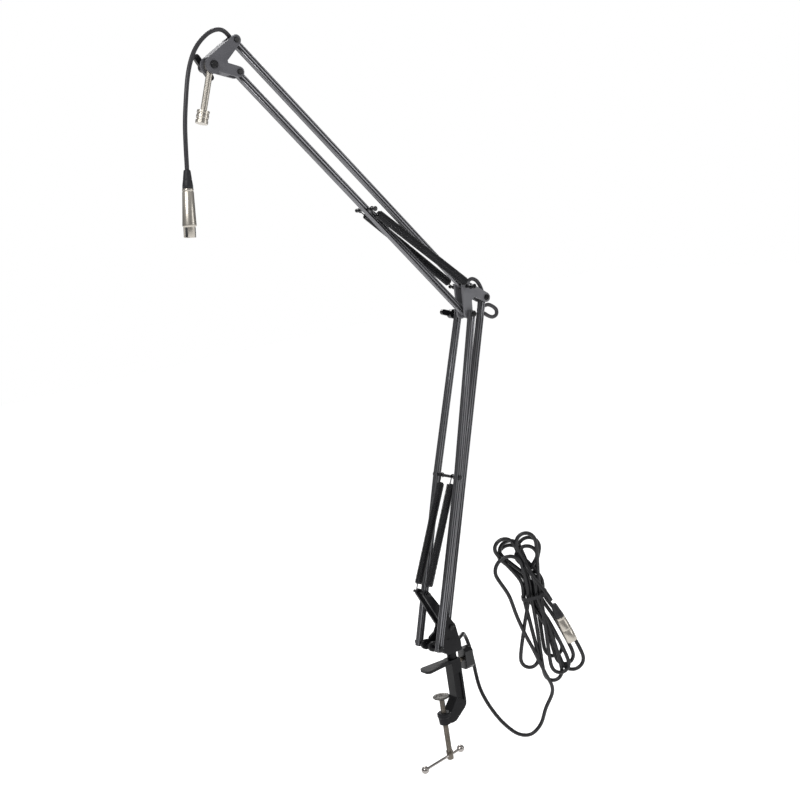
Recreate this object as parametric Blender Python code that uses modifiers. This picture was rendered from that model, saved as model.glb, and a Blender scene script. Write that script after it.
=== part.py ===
"""Desk-clamp, spring-balanced boom arm for a microphone, with an integrated XLR cable.

Frame: the origin is the centre of the upper jaw's flat underside, where the clamp
bears on the table top. +Z is up, and the arm lies in a plane of constant Y and
reaches towards -X. Lengths below are in millimetres and MM turns them into metres.
"""
import math

import bmesh
import bpy
from mathutils import Euler, Matrix, Vector

MM = 0.001

# ---- driving dimensions (mm, degrees) ---------------------------------------
LINK = 470.0                 # pivot to pivot, both arm sections
LOWER_LEAN = 18.0            # lower section, from vertical towards +X
UPPER_RISE = 50.0            # upper section, above horizontal towards -X
TUBE = 8.5                   # square tube, outside
WALL = 0.8                   # tube wall
BASE_OFFSET = (35.0, 17.5)   # rear base pivot from the front one, same at the elbow
TOP_OFFSET = (2.5, 38.8)     # upper tube's pivot from the lower tube's, elbow and head
SWIVEL_OFFSET = (-34.3, 11.7)  # stem pivot from the lower tube's head pivot
SPLAY = (23.0, 23.9, 15.3)   # front pair from the middle plane: base, crossbar, elbow
LOWER_BAR_AT = 240.0         # crossbar along the front pair
UPPER_BAR_AT = 218.0         # crossbar along the lower tube of the upper section
HOOK_PIN = (1.5, 77.4)       # lower springs' fixed pin from the front base pivot
SPRING_R = 6.0
CABLE_R = 2.75
JAW_W = 17.0                 # clamp spine
JAW_T = 5.0
POST_AT = 29.0               # swivel post behind the jaw's centre
THROAT = 67.0                # jaw underside to threaded boss
RISE = 3.0                   # lifts everything above the clamp
SCREW_AT = 28.5              # clamp screw in front of the post
PAD_Z = -42.3                # pad's top face
STEM_LEAN = 21.0             # stem, from plumb towards -X
STEM_LEN = 57.0
BOLT_R = 2.2
HOLE_R = 2.6
GAP = 0.3

# ---- derived points, (x, z) in the arm's plane ------------------------------
DX, DY = -1.0, 0.0           # the jaw points along -X, under the arm
POST = (POST_AT, 0.0)
ARM_Y = POST[1]
LOW = (math.sin(math.radians(LOWER_LEAN)), math.cos(math.radians(LOWER_LEAN)))
UPP = (-math.cos(math.radians(UPPER_RISE)), math.sin(math.radians(UPPER_RISE)))


def plus(a, b, s=1.0):
    return (a[0] + s * b[0], a[1] + s * b[1])


A0 = (POST[0] - 36.0, 33.0 + RISE)
B0 = plus(A0, BASE_OFFSET)
S1 = plus(A0, HOOK_PIN)
P_LOW = plus(A0, LOW, LINK)
P_REAR = plus(B0, LOW, LINK)
P_TOP = plus(P_LOW, TOP_OFFSET)
BAR_L = plus(A0, LOW, LOWER_BAR_AT)
BAR_U = plus(P_LOW, UPP, UPPER_BAR_AT)
HEAD = plus(P_LOW, UPP, LINK)
HEAD1 = plus(HEAD, TOP_OFFSET)
SWIVEL = plus(HEAD, SWIVEL_OFFSET)
STEM_DIR = (-math.sin(math.radians(STEM_LEAN)), -math.cos(math.radians(STEM_LEAN)))

# ---- a clean file and its collections ---------------------------------------
for old in list(bpy.data.objects):
    bpy.data.objects.remove(old, do_unlink=True)

parts = bpy.data.collections.new("microphone_boom_arm")
cutters = bpy.data.collections.new("cutters")
for c in (parts, cutters):
    bpy.context.scene.collection.children.link(c)


def material(name, colour, rough, metal):
    m = bpy.data.materials.new(name)
    m.use_nodes = True
    b = m.node_tree.nodes["Principled BSDF"]
    b.inputs["Base Color"].default_value = (*colour, 1.0)
    b.inputs["Roughness"].default_value = rough
    b.inputs["Metallic"].default_value = metal
    return m


LOOKS = {
    "gunmetal": ((0.10, 0.10, 0.115), 0.35, 0.8),
    "grey_coat": ((0.11, 0.11, 0.12), 0.6, 0.1),
    "black_coat": ((0.02, 0.02, 0.023), 0.5, 0.1),
    "black_plastic": ((0.02, 0.02, 0.022), 0.45, 0.0),
    "spring_black": ((0.04, 0.04, 0.045), 0.4, 0.7),
    "nickel": ((0.62, 0.60, 0.56), 0.28, 1.0),
    "chrome": ((0.75, 0.74, 0.72), 0.15, 1.0),
    "cable": ((0.035, 0.035, 0.04), 0.5, 0.0),
    "rubber": ((0.025, 0.025, 0.028), 0.7, 0.0),
    "brass": ((0.6, 0.45, 0.2), 0.3, 1.0),
}


def keep(obj, look, place=parts):
    """File an object under its name, with its own material."""
    for c in list(obj.users_collection):
        c.objects.unlink(obj)
    place.objects.link(obj)
    if place is cutters:
        obj.hide_render = True
        obj.display_type = "WIRE"
    else:
        obj.data.materials.clear()
        obj.data.materials.append(material(obj.name, *LOOKS[look]))
    return obj


def smooth(obj):
    if obj.type == "MESH":
        obj.data.shade_smooth()
        obj.data.set_sharp_from_angle(angle=math.radians(35))
    return obj


def to_mesh(obj):
    """A curve's solid as a mesh, with its caps welded on."""
    bpy.context.view_layer.update()
    deps = bpy.context.evaluated_depsgraph_get()
    mesh = bpy.data.meshes.new_from_object(obj.evaluated_get(deps))
    bm = bmesh.new()
    bm.from_mesh(mesh)
    bmesh.ops.remove_doubles(bm, verts=bm.verts, dist=1e-6)
    bmesh.ops.recalc_face_normals(bm, faces=bm.faces)
    bm.to_mesh(mesh)
    bm.free()
    new = bpy.data.objects.new(obj.name + "_m", mesh)
    new.matrix_world = obj.matrix_world.copy()
    bpy.context.scene.collection.objects.link(new)
    name = obj.name
    bpy.data.objects.remove(obj, do_unlink=True)
    new.name = name
    return new


def outline(name, loops, thick, matrix):
    """A flat 2D outline, with holes if more loops are given, as a solid plate."""
    cu = bpy.data.curves.new(name, "CURVE")
    cu.dimensions = "2D"
    cu.fill_mode = "BOTH"
    cu.extrude = thick / 2 * MM
    for loop in loops:
        sp = cu.splines.new("POLY")
        sp.points.add(len(loop) - 1)
        for p, (x, y) in zip(sp.points, loop):
            p.co = (x * MM, y * MM, 0, 1)
        sp.use_cyclic_u = True
    ob = bpy.data.objects.new(name, cu)
    bpy.context.scene.collection.objects.link(ob)
    ob.matrix_world = matrix
    return to_mesh(ob)


def upright(y=0.0):
    """Local X, Y become world X, Z, and thickness runs along Y about ARM_Y + y."""
    return Matrix.Translation((0, (ARM_Y + y) * MM, 0)) @ Matrix.Rotation(math.pi / 2, 4, "X")


def in_jaw():
    """Local X runs along the jaw from the post, local Y is up."""
    m = Matrix(((DX, 0, DY), (DY, 0, -DX), (0, 1, 0))).to_4x4()
    return Matrix.Translation((POST[0] * MM, POST[1] * MM, 0)) @ m


def along(p0, p1):
    """A matrix at p0 whose Z points to p1 and whose Y stays as near world Y as it can."""
    z = (Vector(p1) - Vector(p0)).normalized()
    x = Vector((0, 1, 0)).cross(z)
    if x.length < 1e-3:
        x = Vector((1, 0, 0))
    x.normalize()
    m = Matrix((x, z.cross(x), z)).transposed().to_4x4()
    return Matrix.Translation(Vector(p0) * MM) @ m


def rod(name, p0, p1, r, sides=16):
    length = (Vector(p1) - Vector(p0)).length
    bpy.ops.mesh.primitive_cylinder_add(vertices=sides, radius=r * MM, depth=length * MM)
    ob = bpy.context.object
    ob.name = name
    ob.matrix_world = along(p0, p1) @ Matrix.Translation((0, 0, length / 2 * MM))
    return smooth(ob)


def turned(name, profile, matrix, sides=16):
    """A turned piece; the profile is (radius, height) from top to bottom."""
    mesh = bpy.data.meshes.new(name)
    bm = bmesh.new()
    vs = [bm.verts.new((r * MM, 0, z * MM)) for r, z in profile]
    for a, b in zip(vs, vs[1:]):
        bm.edges.new((a, b))
    bm.to_mesh(mesh)
    bm.free()
    ob = bpy.data.objects.new(name, mesh)
    bpy.context.scene.collection.objects.link(ob)
    s = ob.modifiers.new("Turn", "SCREW")
    s.axis = "Z"
    s.steps = s.render_steps = sides
    s.use_merge_vertices = True
    s.merge_threshold = 1e-5
    ob.matrix_world = matrix
    return ob


def cut(obj, tool):
    keep(tool, None, cutters)
    b = obj.modifiers.new("Cut " + tool.name, "BOOLEAN")
    b.operation, b.solver, b.object = "DIFFERENCE", "EXACT", tool
    return obj


def join(obj, tool):
    keep(tool, None, cutters)
    b = obj.modifiers.new("Join " + tool.name, "BOOLEAN")
    b.operation, b.solver, b.object = "UNION", "EXACT", tool
    return obj


def arc(centre, r, a0, a1, n=8):
    return [(centre[0] + r * math.cos(math.radians(a0 + (a1 - a0) * i / n)),
             centre[1] + r * math.sin(math.radians(a0 + (a1 - a0) * i / n))) for i in range(n + 1)]


def strap(a, b, ra, rb, n=7):
    """The outline of a tapered strap with round ends about two pivots."""
    t = math.degrees(math.atan2(b[1] - a[1], b[0] - a[0]))
    d = math.hypot(b[0] - a[0], b[1] - a[1])
    s = math.degrees(math.asin((ra - rb) / d))
    return arc(b, rb, t - 90 + s, t + 90 - s, n) + arc(a, ra, t + 90 - s, t + 270 + s, n)


def hole_y(name, point, r, half=40.0, y=0.0):
    return rod(name, (point[0], ARM_Y + y - half, point[1]), (point[0], ARM_Y + y + half, point[1]), r, 16)


def curve_points(route, step):
    """Points about a step apart on a smooth curve through the route's points."""
    pts = [Vector(p) for p in route]
    pts = [2 * pts[0] - pts[1]] + pts + [2 * pts[-1] - pts[-2]]
    out = []
    for p0, p1, p2, p3 in zip(pts, pts[1:], pts[2:], pts[3:]):
        n = max(1, round((p2 - p1).length / step))
        for i in range(n):
            t = i / n
            out.append(0.5 * (2 * p1 + (p2 - p0) * t + (2 * p0 - 5 * p1 + 4 * p2 - p3) * t * t
                              + (3 * p1 - p0 - 3 * p2 + p3) * t ** 3))
    return out + [pts[-2]]


def cable(name, route, r=CABLE_R, step=13.0, look="cable"):
    cu = bpy.data.curves.new(name, "CURVE")
    cu.dimensions = "3D"
    cu.bevel_depth = r * MM
    cu.bevel_resolution = 2
    cu.use_fill_caps = True
    pts = curve_points(route, step)
    sp = cu.splines.new("POLY")
    sp.points.add(len(pts) - 1)
    for p, q in zip(sp.points, pts):
        p.co = (q.x * MM, q.y * MM, q.z * MM, 1)
    ob = bpy.data.objects.new(name, cu)
    bpy.context.scene.collection.objects.link(ob)
    return keep(ob, look)


def pivot_bolt(name, point, y_near, y_far, r=BOLT_R, head=4.2, thick=2.6, look="black_plastic"):
    """A cross bolt: domed head on the near side, shank, and nut on the far side."""
    profile = [(0, y_far + thick), (head * 0.8, y_far + thick), (head * 0.8, y_far + GAP), (r, y_far + GAP),
               (r, y_near - GAP), (head, y_near - GAP), (head, y_near - thick * 0.6),
               (head * 0.7, y_near - thick), (0, y_near - thick)]
    m = Matrix.Translation((point[0] * MM, ARM_Y * MM, point[1] * MM)) @ Matrix.Rotation(-math.pi / 2, 4, "X")
    return keep(turned(name, profile, m), look)


def square(half, corner=0.0):
    if corner:
        h, c = half, corner
        return [(h, -h + c), (h, h - c), (h - c, h), (-h + c, h), (-h, h - c), (-h, -h + c), (-h + c, -h), (h - c, -h)]
    return [(half, -half), (half, half), (-half, half), (-half, -half)]


def link_tube(name, p0, p1, over0, over1, y=0.0, bolts=(), look="gunmetal"):
    """A hollow square tube on two pivots, running past each of them."""
    d = Vector((p1[0] - p0[0], p1[1] - p0[1])).normalized()
    a = (p0[0] - d.x * over0, ARM_Y + y, p0[1] - d.y * over0)
    b = (p1[0] + d.x * over1, ARM_Y + y, p1[1] + d.y * over1)
    length = (Vector(b) - Vector(a)).length
    m = along(a, b) @ Matrix.Translation((0, 0, length / 2 * MM))
    ob = outline(name, [square(TUBE / 2, 1.4), square(TUBE / 2 - WALL)], length, m)
    for i, p in enumerate(bolts):
        cut(ob, hole_y(f"{name}_hole_{i}", p, HOLE_R))
    return keep(ob, look)


# ---- clamp -------------------------------------------------------------------
def in_plan(z):
    """Local X runs along the jaw from the post, local Z is up."""
    m = Matrix(((DX, -DY, 0), (DY, DX, 0), (0, 0, 1))).to_4x4()
    return Matrix.Translation((POST[0] * MM, POST[1] * MM, z * MM)) @ m


clamp = outline("clamp_frame", [[(-8, -8.5), (8, -8.5), (11, -7)] + arc((46.5, -5.5), 5.5, -95, 0, 5)
                                + arc((46.5, 5.5), 5.5, 0, 95, 5) + [(11, 7), (8, 8.5), (-8, 8.5)]], JAW_T, in_plan(JAW_T / 2))
for v in clamp.data.vertices:
    if v.co.z > 0 and v.co.x > 10 * MM:
        v.co.z -= (v.co.x - 10 * MM) * 0.025
join(clamp, outline("clamp_spine", [[(8, 2), (8, -50), (11.5, -56), (SCREW_AT - 7, -THROAT - 1), (SCREW_AT, -THROAT - 2),
                                     (SCREW_AT, -THROAT - 15.5), (SCREW_AT - 8, -THROAT - 17), (14, -83), (-4, -69.5),
                                     (-7.2, -65), (-8, -60), (-8, 2)]], JAW_W, in_jaw()))
boss = [(0, -THROAT), (8.2, -THROAT), (9.8, -THROAT - 1.5), (9.8, -THROAT - 6), (8.8, -THROAT - 7.5), (8.2, -THROAT - 17),
        (0, -THROAT - 17)]
screw_x, screw_y = POST[0] + DX * SCREW_AT, POST[1] + DY * SCREW_AT
screw_m = Matrix.Translation((screw_x * MM, screw_y * MM, 0))
join(clamp, turned("clamp_boss", boss, screw_m, 24))
for word, side in (("a", 1), ("b", -1)):
    cut(clamp, outline("spine_pocket_" + word, [[(-4.6, -16), (4.6, -16), (4.6, -52), (-4.6, -58)]], 4.0,
                       in_jaw() @ Matrix.Translation((0, 0, side * JAW_W / 2 * MM))))


def jaw_point(s, z, e=0.0):
    return (POST[0] + DX * s - DY * e, POST[1] + DY * s + DX * e, z)


LOCK_Z = -2.0
cut(clamp, rod("post_socket_cut", jaw_point(0, -10.0), jaw_point(0, 20.0), 5.3, 20))
cut(clamp, rod("screw_hole_cut", jaw_point(SCREW_AT, -92.0), jaw_point(SCREW_AT, -40.0), 4.3, 20))
cut(clamp, rod("lock_hole_cut", jaw_point(-20, LOCK_Z), jaw_point(0, LOCK_Z), 3.3, 16))
keep(clamp, "black_coat")

SCREW_TOP, SCREW_END = PAD_Z - 6.0, -138.5
BAR_Z = SCREW_END + 6.0
screw = turned("clamp_screw", [(0, SCREW_TOP), (4.0, SCREW_TOP), (4.0, SCREW_END + 14), (4.9, SCREW_END + 13),
                               (4.9, SCREW_END), (0, SCREW_END)], screw_m, 16)
TB = Vector((0.984, 0.18, 0.0)).normalized()
cut(screw, rod("tommy_hole_cut", (screw_x - TB.x * 9, screw_y - TB.y * 9, BAR_Z),
               (screw_x + TB.x * 9, screw_y + TB.y * 9, BAR_Z), 2.3, 16))
keep(screw, "nickel")
keep(turned("clamp_pad", [(0, PAD_Z), (12, PAD_Z), (12.5, PAD_Z - 1), (11, PAD_Z - 2.6), (5.0, PAD_Z - 3.6),
                          (5.0, PAD_Z - 5.7), (0, PAD_Z - 5.7)], screw_m, 20), "nickel")
ball = lambda z, s: [(5.35 * math.cos(math.radians(a)), z + 5.35 * math.sin(math.radians(a))) for a in s]
bar_half, bar_slid = 38.0, -15.0
bar_profile = ([(0, bar_half + 5.35)] + ball(bar_half, (60, 30, 0, -30)) + [(2.0, bar_half - 4.9), (2.0, -bar_half + 4.9)]
               + ball(-bar_half, (30, 0, -30, -60)) + [(0, -bar_half - 5.35)])
bar_m = along((screw_x, screw_y, BAR_Z), (screw_x + TB.x, screw_y + TB.y, BAR_Z)) @ Matrix.Translation((0, 0, bar_slid * MM))
keep(turned("tommy_bar", bar_profile, bar_m, 16), "chrome")

lock_m = along(jaw_point(-6.0, LOCK_Z), jaw_point(-30.0, LOCK_Z))
keep(turned("arm_lock_screw", [(0, 11.2), (3.0, 11.2), (3.0, 6.6), (5.0, 6.6), (5.0, 4.6), (3.0, 4.6), (3.0, 0.0), (0, 0.0)],
            lock_m, 16), "nickel")
knob = outline("arm_lock_knob", [[(15.5, -5), (15.5, 5), (11, 9), (-11, 9), (-15.5, 5), (-15.5, -5), (-11, -9), (11, -9)]], 14.0,
               lock_m @ Matrix.Translation((0, 0, 18.5 * MM)))
join(knob, turned("arm_lock_cap", [(0, 27.0), (5.0, 27.0), (6.5, 25.0), (6.5, 20.0), (0, 20.0)], lock_m, 20))
keep(knob, "black_plastic")

# ---- base bracket and its pins -------------------------------------------------
BLOCK_TOP = A0[1] - 8.0
BLOCK_BOTTOM = 13.0 + RISE
base = outline("base_bracket", [strap(A0, (A0[0] + 38, BLOCK_TOP), 7.0, 8.0)], 21.0, upright())
join(base, outline("base_rear_strap", [strap((A0[0] + 39, BLOCK_TOP - 3), B0, 8.4, 8.0)], 21.0, upright()))
join(base, outline("base_hook_strap", [strap((B0[0] - 2, B0[1] + 2), S1, 8.2, 4.8)], 21.0, upright()))
web_edge = [(8, 3), (36, 3), (36, 26), (23.5, 27), (22.4, 20), (18, 13), (8, 8)]
join(base, outline("base_web", [[plus(A0, q) for q in web_edge]], 21.0, upright()))
join(base, outline("base_block", [[(POST[0] - 13, BLOCK_BOTTOM), (POST[0] + 12, BLOCK_BOTTOM), (POST[0] + 12, BLOCK_TOP + 6),
                                   (POST[0] - 20, BLOCK_TOP + 6), (POST[0] - 20, BLOCK_TOP - 6)]], 21.0, upright()))
cut(base, outline("base_channel_cut", [[(A0[0] - 20, BLOCK_TOP), (A0[0] + 70, BLOCK_TOP), (A0[0] + 70, 160), (A0[0] - 20, 160)]],
                  13.0, upright()))
cut(base, rod("base_side_trim", (A0[0] - 20, ARM_Y - 7, 300), (A0[0] - 20, ARM_Y + 7, 300), 1.0, 8))
for n, p in (("a", A0), ("b", B0), ("s", S1)):
    cut(base, hole_y("base_hole_" + n, p, HOLE_R))
cut(base, rod("base_post_cut", (POST[0], ARM_Y, 0), (POST[0], ARM_Y, 21.0 + RISE), 5.3, 20))
keep(base, "black_coat")
post_m = Matrix.Translation((POST[0] * MM, POST[1] * MM, 0))
keep(turned("swivel_post", [(0, 20.7 + RISE), (5.0, 20.7 + RISE), (5.0, 12.7 + RISE), (6.8, 12.7 + RISE), (6.8, 5.3),
                            (5.0, 5.3), (5.0, -9.5), (0, -9.5)],
            post_m, 20), "black_coat")
pivot_bolt("front_base_bolt", A0, -SPLAY[0] - TUBE / 2, SPLAY[0] + TUBE / 2)
pivot_bolt("rear_base_bolt", B0, -10.5, 10.5)
pivot_bolt("lower_spring_pin", S1, -16.8, 16.8, r=1.6, head=2.6, thick=1.4)

# ---- lower arm: splayed front pair, rear tube, crossbar, springs ------------------


def pair_tube(name, side):
    """One tube of the front pair: it runs straight up to the crossbar, then bends inwards."""
    d = Vector(LOW)
    a = (A0[0] - d.x * 5, ARM_Y, A0[1] - d.y * 5)
    b = (P_LOW[0] + d.x * 5, ARM_Y, P_LOW[1] + d.y * 5)
    length = LINK + 10
    m = along(a, b) @ Matrix.Translation((0, 0, length / 2 * MM))
    ob = outline(name, [square(TUBE / 2, 1.4), square(TUBE / 2 - WALL)], length, m)
    bend = (LOWER_BAR_AT + 5 - length / 2) * MM
    bm = bmesh.new()
    bm.from_mesh(ob.data)
    bmesh.ops.bisect_plane(bm, geom=bm.verts[:] + bm.edges[:] + bm.faces[:], plane_co=(0, 0, bend), plane_no=(0, 0, 1),
                           dist=1e-7)
    for v in bm.verts:
        t = v.co.z / MM + length / 2 - 5
        if t <= LOWER_BAR_AT:
            y = SPLAY[0] + (SPLAY[1] - SPLAY[0]) * t / LOWER_BAR_AT
        else:
            y = SPLAY[1] + (SPLAY[2] - SPLAY[1]) * (t - LOWER_BAR_AT) / (LINK - LOWER_BAR_AT)
        v.co.y += side * y * MM
    bm.to_mesh(ob.data)
    bm.free()
    for i, p in enumerate((A0, BAR_L, P_LOW)):
        cut(ob, hole_y(f"{name}_hole_{i}", p, HOLE_R))
    return keep(ob, "gunmetal")


pair_tube("lower_front_tube_far", 1)
pair_tube("lower_front_tube_near", -1)
pivot_bolt("lower_crossbar", BAR_L, -SPLAY[1] - TUBE / 2 - 0.2, SPLAY[1] + TUBE / 2 + 0.2, head=3.6, thick=2.2)
link_tube("lower_rear_tube", B0, P_REAR, 5, 5, bolts=(B0, P_REAR))


def spring(name, p0, y0, p1, y1, in0, in1):
    """The space of a close-wound extension spring between its two hooks."""
    a, b = Vector((p0[0], ARM_Y + y0, p0[1])), Vector((p1[0], ARM_Y + y1, p1[1]))
    d = (b - a).normalized()
    return keep(rod(name, a + d * in0, b - d * in1, SPRING_R, 16), "spring_black")


spring("lower_spring_far", S1, 12, BAR_L, 12, 9, 9)
spring("lower_spring_near", S1, -12, BAR_L, -12, 9, 9)

# ---- elbow bracket --------------------------------------------------------------
elbow = outline("elbow_bracket", [strap(P_LOW, P_TOP, 7.0, 7.5)], 20.0, upright())
join(elbow, outline("elbow_rear_strap", [strap(P_TOP, P_REAR, 7.5, 6.8)], 20.0, upright()))
join(elbow, outline("elbow_gusset", [[plus(P_TOP, (0, 3)), plus(P_TOP, (22, -9)), plus(P_LOW, (6, 16)), plus(P_LOW, (-1, 14))]],
                    20.0, upright()))
web = plus(P_LOW, (1.3, 19.4))
cut(elbow, outline("elbow_channel_low", [[plus(P_LOW, (-12, -12)), plus(P_LOW, (14, -12)), plus(P_LOW, (14, 13.5)),
                                          plus(P_LOW, (3.0, 13.5)), plus(P_LOW, (4.2, 25)), plus(P_LOW, (9.5, 25)),
                                          plus(P_LOW, (50, 0)), plus(P_LOW, (50, 60)), plus(P_LOW, (-12, 60))]],
                   13.0, upright()))
for n, p in (("low", P_LOW), ("top", P_TOP), ("rear", P_REAR)):
    cut(elbow, hole_y("elbow_hole_" + n, p, HOLE_R))
keep(elbow, "grey_coat")
pivot_bolt("elbow_top_bolt", P_TOP, -26.5, 26.5, head=3.4, thick=2.0)
pivot_bolt("elbow_rear_bolt", P_REAR, -10.0, 10.0)


def winged(name, point, y0, look="black_plastic", tilt=35.0, span=15.0):
    """A wing knob on a bolt's far end: a hub with two flat wings."""
    m = (Matrix.Translation((point[0] * MM, (ARM_Y + y0) * MM, point[1] * MM)) @ Matrix.Rotation(-math.pi / 2, 4, "X"))
    hub = turned(name, [(0, 11), (5, 11), (6.5, 9), (7.0, 0), (0, 0)], m, 16)
    wings = outline(name + "_wings", [strap((-span, 0), (span, 0), 4.0, 4.001, 5)], 5.0,
                    m @ Matrix.Translation((0, 0, 6.5 * MM)) @ Matrix.Rotation(math.radians(tilt), 4, "Z"))
    join(hub, wings)
    return keep(hub, look)


e_out = SPLAY[2] + TUBE / 2
front_axle = [(0, e_out + 4.5), (BOLT_R, e_out + 4.5), (BOLT_R, -e_out - GAP), (4.0, -e_out - GAP), (4.0, -e_out - 2.2),
              (2.8, -e_out - 3.2), (0, -e_out - 3.2)]
keep(turned("elbow_front_axle", front_axle, Matrix.Translation((P_LOW[0] * MM, ARM_Y * MM, P_LOW[1] * MM))
            @ Matrix.Rotation(-math.pi / 2, 4, "X")), "black_plastic")
winged("elbow_wing_knob", P_LOW, e_out + 4.9, tilt=20)

# ---- upper arm --------------------------------------------------------------------
link_tube("upper_arm_top_tube", P_TOP, HEAD1, 4, 3, bolts=(P_TOP, HEAD1))
link_tube("upper_arm_bottom_tube", P_LOW, HEAD, 4, 3, bolts=(P_LOW, BAR_U, HEAD))
pivot_bolt("upper_crossbar", BAR_U, -20.8, 20.8, head=3.4, thick=2.0)
spring("upper_spring_far", P_TOP, 19.5, BAR_U, 14, 9, 9)
spring("upper_spring_near", P_TOP, -19.5, BAR_U, -14, 9, 9)

# ---- head bracket, stem and adapter -------------------------------------------------
head = outline("head_bracket", [strap(SWIVEL, HEAD1, 11.0, 6.5)], 17.0, upright())
join(head, outline("head_lower_strap", [strap(SWIVEL, HEAD, 7.0, 6.5)], 17.0, upright()))
join(head, outline("head_gusset", [[plus(SWIVEL, (0, 2)), plus(SWIVEL, (8, -2)), plus(SWIVEL, (20, -3)), plus(SWIVEL, (20, 13)),
                                    plus(SWIVEL, (8, 9))]], 17.0, upright()))
for n, p in (("low", HEAD), ("top", HEAD1)):
    u = Vector((p[0] - SWIVEL[0], p[1] - SWIVEL[1])).normalized()
    v = Vector((-u.y, u.x))
    q = lambda s, t: (p[0] + u.x * s + v.x * t, p[1] + u.y * s + v.y * t)
    cut(head, outline("head_ear_cut_" + n, [[q(-11, -14), q(20, -14), q(20, 14), q(-11, 14)]], 9.4, upright()))
slot = [plus(SWIVEL, p) for p in arc((0, 0), 8.6, 110, -30, 10)] + [plus(SWIVEL, p) for p in arc((0, 0), 30, -52, -222, 8)]
cut(head, outline("head_stem_slot", [slot], 9.6, upright()))
for n, p in (("low", HEAD), ("top", HEAD1), ("swivel", SWIVEL)):
    cut(head, hole_y("head_hole_" + n, p, HOLE_R))
keep(head, "grey_coat")
pivot_bolt("head_top_bolt", HEAD1, -8.5, 8.5, head=3.6, thick=2.4)
pivot_bolt("head_lower_bolt", HEAD, -8.5, 8.5, head=3.6, thick=2.4)
tilt_bolt = [(0, 13.0), (BOLT_R, 13.0), (BOLT_R, -8.5 - GAP), (5.0, -8.5 - GAP), (5.0, -10.5), (3.4, -12.0), (0, -12.0)]
keep(turned("head_tilt_bolt", tilt_bolt, Matrix.Translation((SWIVEL[0] * MM, ARM_Y * MM, SWIVEL[1] * MM))
            @ Matrix.Rotation(-math.pi / 2, 4, "X")), "black_plastic")
winged("head_wing_knob", SWIVEL, 13.4, tilt=60)


def on_stem(s):
    return (SWIVEL[0] + STEM_DIR[0] * s, ARM_Y, SWIVEL[1] + STEM_DIR[1] * s)


stem = rod("mic_stem", on_stem(6.0), on_stem(STEM_LEN), 4.0, 16)
join(stem, outline("stem_eye", [arc(SWIVEL, 7.8, 0, 337.5, 15)], 8.4, upright()))
cut(stem, hole_y("stem_eye_hole", SWIVEL, HOLE_R))
keep(stem, "nickel")
ad_m = along(on_stem(STEM_LEN + GAP), on_stem(STEM_LEN + 10))
adapter = turned("thread_adapter", [(0, 16), (7.9, 16), (7.9, 12.2), (7.3, 11.6), (7.3, 9.4), (7.9, 8.8), (7.9, 5.2), (7.3, 4.6),
                                    (7.3, 3.4), (7.9, 2.8), (7.9, 0), (0, 0)], ad_m, 24)
keep(adapter, "nickel")

# ---- XLR cable ------------------------------------------------------------------------
def from_post(points):
    """Points given from the post's axis and RISE, in the frame."""
    return [(POST[0] + x, POST[1] + y, z + RISE) for x, y, z in points]


EXIT_HEAD = plus(HEAD1, UPP, 3.6)
NEXT_HEAD = plus(HEAD1, UPP, 8.0)
head_route = [(EXIT_HEAD[0], ARM_Y, EXIT_HEAD[1]), (NEXT_HEAD[0], ARM_Y, NEXT_HEAD[1])]
head_route += from_post([(-198.3, -1, 889), (-203.5, -2.2, 892.5), (-211, -4, 893.8), (-221, -5.5, 892), (-231.5, -8, 887.2),
                         (-242.5, -10.8, 880), (-253, -13.5, 870.3), (-262.5, -16, 856.8), (-270.5, -18.2, 840.5),
                         (-278.5, -20, 816), (-286, -20, 785), (-290.3, -20, 758), (-293, -20, 736)])
cable("head_cable", head_route)
FX0, FX1 = (Vector(q) for q in from_post([(-293.3, -20, 735.4), (-305.5, -20, 650.0)]))
f_m = along(FX0, FX1)
f_len = (FX1 - FX0).length
keep(turned("xlr_female_boot", [(0, 27.6), (7.0, 27.6), (7.0, 22), (6.2, 14), (4.2, 0), (0, 0)], f_m, 20), "rubber")
shell = turned("xlr_female_shell", [(0, f_len), (7.9, f_len), (7.9, f_len - 12), (8.8, f_len - 13), (8.8, 40), (8.4, 30), (7.6, 28),
                                    (0, 28)], f_m, 24)
cut(shell, rod("xlr_female_bore", FX0 + (FX1 - FX0) * 0.62, FX1 + (FX1 - FX0) * 0.2, 7.0, 24))
keep(shell, "nickel")
insert = rod("xlr_female_insert", FX0 + (FX1 - FX0) * 0.625, FX0 + (FX1 - FX0) * 0.97, 6.7, 20)
keep(insert, "black_plastic")

arch = from_post([(121.5, 0, 523.5), (129, 0, 526.5), (137, 0, 523.5), (143, 0, 515), (146, 0, 505.5)])
cable("elbow_cable_arch", arch, step=8.0)
loop = from_post([(145.6, 0, 485), (153, 0, 485.3), (161, 0, 481.5), (167, 0, 475), (166, 0, 469), (159, 0, 466.5), (151, 0, 469.5),
                  (144.2, 0, 474.5)])
cable("elbow_cable_loop", loop, step=7.0)
inner = lambda p, q, a, b: [(p[0] + (q[0] - p[0]) * t, ARM_Y, p[1] + (q[1] - p[1]) * t) for t in (a, b)]
keep(rod("cable_in_upper_tube", *inner(P_TOP, HEAD1, 0.03, 0.965), CABLE_R, 12), "cable")
keep(rod("cable_in_lower_tube", *inner(B0, P_REAR, 0.05, 0.91), CABLE_R, 12), "cable")

tail = from_post([(12.6, 0, 25), (18.5, 0.5, 25.8), (25, 3, 28), (32, 8.5, 27), (38, 13.5, 20), (41.5, 12.5, 6), (42.5, 10.5, -10),
                  (42.8, 8.5, -27), (42.4, 6, -43), (41, -0.5, -60), (42.4, -10.2, -78), (47.9, -21.9, -98.7), (54.7, -32.3, -113.9),
                  (66, -45, -128), (80, -54, -131), (93, -63, -118), (101, -69, -95), (105, -72, -70)])
cable("tail_cable", tail)

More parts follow.
